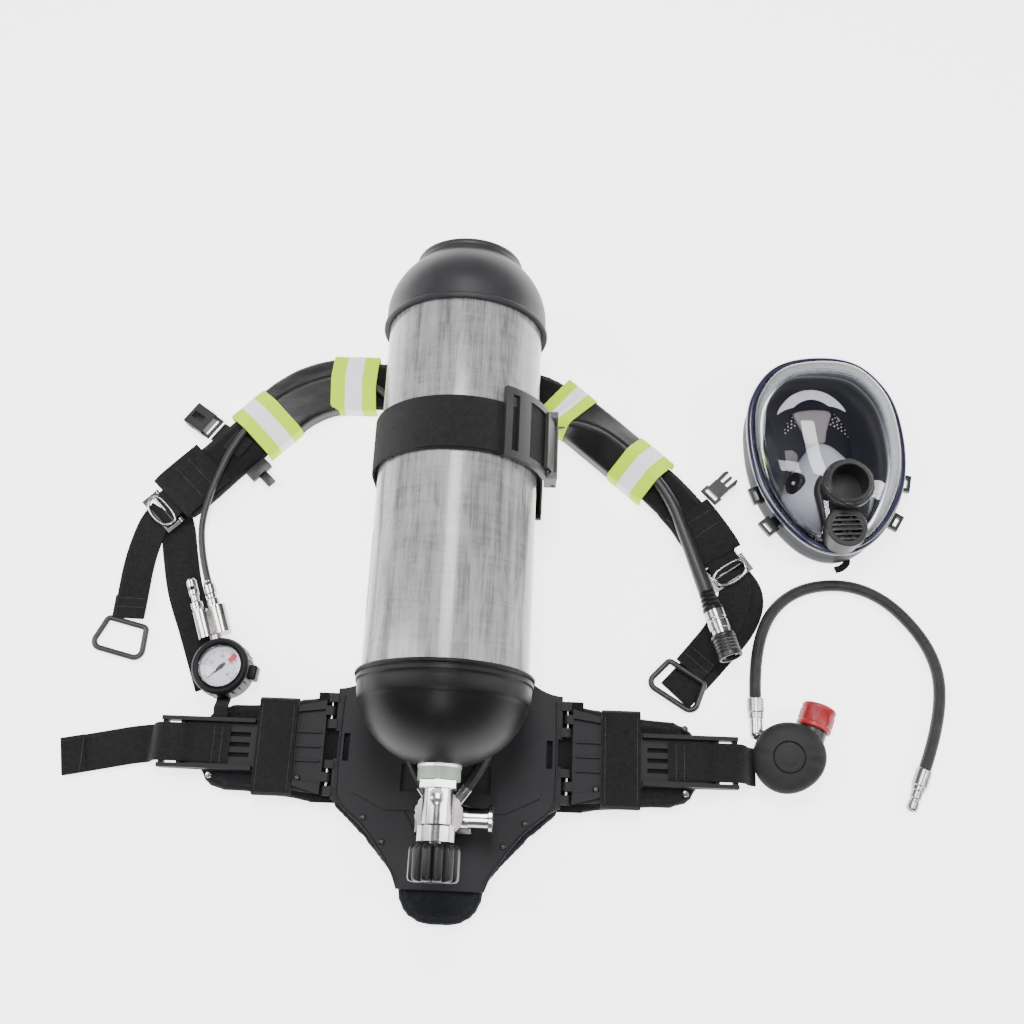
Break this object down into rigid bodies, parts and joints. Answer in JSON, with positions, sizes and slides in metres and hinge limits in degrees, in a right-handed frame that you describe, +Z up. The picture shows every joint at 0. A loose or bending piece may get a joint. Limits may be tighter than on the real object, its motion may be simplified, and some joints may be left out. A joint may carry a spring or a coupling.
{
  "type": "breathing air pack",
  "caption": "Self-contained breathing air pack laid flat: composite air cylinder strapped to a padded harness plate, pressure gauge, full face mask and demand valve with hose.",
  "frame": {"origin": "on the surface that the pack lies on, under the cylinder's axis and level with the middle of the waist hinges", "axes": "+X to the right of the lying pack, +Y along the cylinder from its valve to its far end, +Z up, from the wearer's back side to the cylinder"},
  "size_m": [0.8865, 0.6609, 0.196],
  "materials": {
    "composite_wrap": "satin, streaked fibre wrap",
    "liner_metal": "satin",
    "black_rubber": "semi-gloss",
    "grey_rubber": "satin",
    "neck_plastic": "translucent satin",
    "chromed": "polished",
    "steel": "brushed",
    "wheel_rubber": "matte",
    "brass_inner": "satin",
    "plate_plastic": "textured",
    "padding": "woven nylon",
    "webbing": "woven",
    "black_plastic": "satin",
    "reflective": "fluorescent edges, silver centre",
    "dial_white": "printed scale",
    "clear": "clear",
    "needle_black": "satin",
    "hose_rubber": "satin",
    "mask_rubber": "satin",
    "clamp_navy": "gloss",
    "visor_clear": "clear",
    "inner_grey": "satin translucent",
    "harness_white": "perforated",
    "valve_plastic": "satin",
    "cap_red": "gloss"
  },
  "bodies": {
    "pack": {"cylinder_shell": "composite_wrap", "cylinder_liner": "liner_metal", "cylinder_boot": "black_rubber", "cylinder_cap": "grey_rubber", "neck_ring": "neck_plastic", "valve_body": "chromed", "reducer_body": "chromed", "reducer_piston": "brass_inner", "backplate": "plate_plastic", "lumbar_pad": "padding", "pins_and_bolts": "steel", "cylinder_band": "webbing", "band_buckle": "black_plastic", "shoulder_pad_left": "padding", "shoulder_pad_right": "padding", "reflective_wraps": "reflective", "adjusting_webbing": "webbing", "gauge_cover": "black_rubber", "gauge_case": "chromed", "gauge_dial": "dial_white", "gauge_lens": "clear", "gauge_manifold": "chromed", "whistle": "chromed", "supply_hose": "hose_rubber", "gauge_hose": "hose_rubber", "coupler_boot": "black_rubber", "coupler_body": "chromed"},
    "valve_wheel": {"valve_spindle": "steel", "valve_handwheel": "wheel_rubber"},
    "coupling_ring": {"reducer_coupling": "chromed"},
    "left_wing": {"waist_wing_left": "plate_plastic", "hip_pad_left": "padding", "waist_belt_left": "webbing"},
    "right_wing": {"waist_wing_right": "plate_plastic", "hip_pad_right": "padding", "waist_belt_right": "webbing"},
    "lever": {"band_lever": "black_plastic"},
    "chest_socket": {"chest_buckle_socket": "black_plastic"},
    "chest_plug": {"chest_buckle_plug": "black_plastic"},
    "left_adjuster": {"strap_adjuster_left": "chromed"},
    "right_adjuster": {"strap_adjuster_right": "chromed"},
    "left_handle": {"pull_handle_left": "black_plastic"},
    "right_handle": {"pull_handle_right": "black_plastic"},
    "sleeve": {"coupler_sleeve": "black_plastic"},
    "needle": {"gauge_needle": "needle_black"},
    "mask": {"mask_skirt": "mask_rubber", "visor_clamp": "clamp_navy", "visor": "visor_clear", "mask_front": "black_plastic", "inner_mask": "inner_grey", "head_harness": "harness_white", "mask_buckles": "black_plastic"},
    "exhalation_valve": {"exhalation_disc": "black_rubber"},
    "demand_line": {"dv_hose": "hose_rubber", "dv_hose_fittings": "steel"},
    "demand_valve": {"dv_body": "valve_plastic", "dv_elbow": "chromed", "dv_cover": "valve_plastic"},
    "purge_button": {"dv_purge_button": "valve_plastic"},
    "outlet_cap": {"dv_outlet_cap": "cap_red"}
  },
  "joints": [
    {"name": "handwheel_turn", "type": "hinge", "parent": "pack", "child": "valve_wheel", "pos_m": [0, -0.11, 0.112], "axis": [0, 1, 0], "range_deg": [0, 720]},
    {"name": "coupling_turn", "type": "hinge", "parent": "pack", "child": "coupling_ring", "pos_m": [0, -0.066, 0.085], "axis": [0, 0, 1], "range_deg": [0, 720]},
    {"name": "left_wing_fold", "type": "hinge", "parent": "pack", "child": "left_wing", "pos_m": [-0.117, 0, 0.022], "axis": [0, -1, 0], "range_deg": [0, 70]},
    {"name": "right_wing_fold", "type": "hinge", "parent": "pack", "child": "right_wing", "pos_m": [0.117, 0, 0.022], "axis": [0, 1, 0], "range_deg": [0, 70]},
    {"name": "band_lever_open", "type": "hinge", "parent": "pack", "child": "lever", "pos_m": [0.094, 0.2855, 0.109], "axis": [0, 1, 0], "range_deg": [0, 130]},
    {"name": "chest_socket_lift", "type": "hinge", "parent": "pack", "child": "chest_socket", "pos_m": [-0.279, 0.343, 0.009], "axis": [0.5623, 0.8269, 0], "range_deg": [0, 75]},
    {"name": "chest_plug_lift", "type": "hinge", "parent": "pack", "child": "chest_plug", "pos_m": [0.2635, 0.2825, 0.009], "axis": [0.695, -0.719, 0], "range_deg": [0, 90]},
    {"name": "left_adjuster_tilt", "type": "hinge", "parent": "pack", "child": "left_adjuster", "pos_m": [-0.316, 0.251, 0.009], "axis": [-0.7071, 0.7071, 0], "range_deg": [0, 45]},
    {"name": "right_adjuster_tilt", "type": "hinge", "parent": "pack", "child": "right_adjuster", "pos_m": [0.278, 0.2055, 0.009], "axis": [-0.817, -0.5767, 0], "range_deg": [0, 45]},
    {"name": "left_handle_lift", "type": "hinge", "parent": "pack", "child": "left_handle", "pos_m": [-0.342, 0.122, 0.006], "axis": [-0.9719, 0.2356, 0], "range_deg": [0, 120]},
    {"name": "right_handle_lift", "type": "hinge", "parent": "pack", "child": "right_handle", "pos_m": [0.238, 0.092, 0.006], "axis": [-0.848, 0.53, 0], "range_deg": [0, 120]},
    {"name": "coupler_sleeve_slide", "type": "slide", "parent": "pack", "child": "sleeve", "axis": [-0.2978, 0.9472, -0.1191], "range_m": [0, 0.005], "stiffness_N_per_m": 600},
    {"name": "needle_sweep", "type": "hinge", "parent": "pack", "child": "needle", "pos_m": [-0.232, 0.074, 0.032], "axis": [0, 0, -1], "range_deg": [0, 270], "stiffness_Nm_per_rad": 0.0002},
    {"name": "mask_lift", "type": "slide", "parent": "pack", "child": "mask", "axis": [0, 0, 1], "range_m": [0, 0.4]},
    {"name": "exhalation_open", "type": "slide", "parent": "mask", "child": "exhalation_valve", "axis": [0, 0, 1], "range_m": [0, 0.002], "stiffness_N_per_m": 60},
    {"name": "demand_line_lift", "type": "slide", "parent": "pack", "child": "demand_line", "axis": [0, 0, 1], "range_m": [0, 0.3]},
    {"name": "demand_valve_swivel", "type": "hinge", "parent": "demand_line", "child": "demand_valve", "pos_m": [0.305, 0.04585, 0.014], "axis": [0, -1, 0], "range_deg": [0, 25]},
    {"name": "purge_press", "type": "slide", "parent": "demand_valve", "child": "purge_button", "axis": [0.1569, 0.1177, -0.9806], "range_m": [0, 0.003], "stiffness_N_per_m": 500},
    {"name": "outlet_cap_off", "type": "slide", "parent": "demand_valve", "child": "outlet_cap", "axis": [0.3414, 0.9399, 0], "range_m": [0, 0.03]}
  ]
}
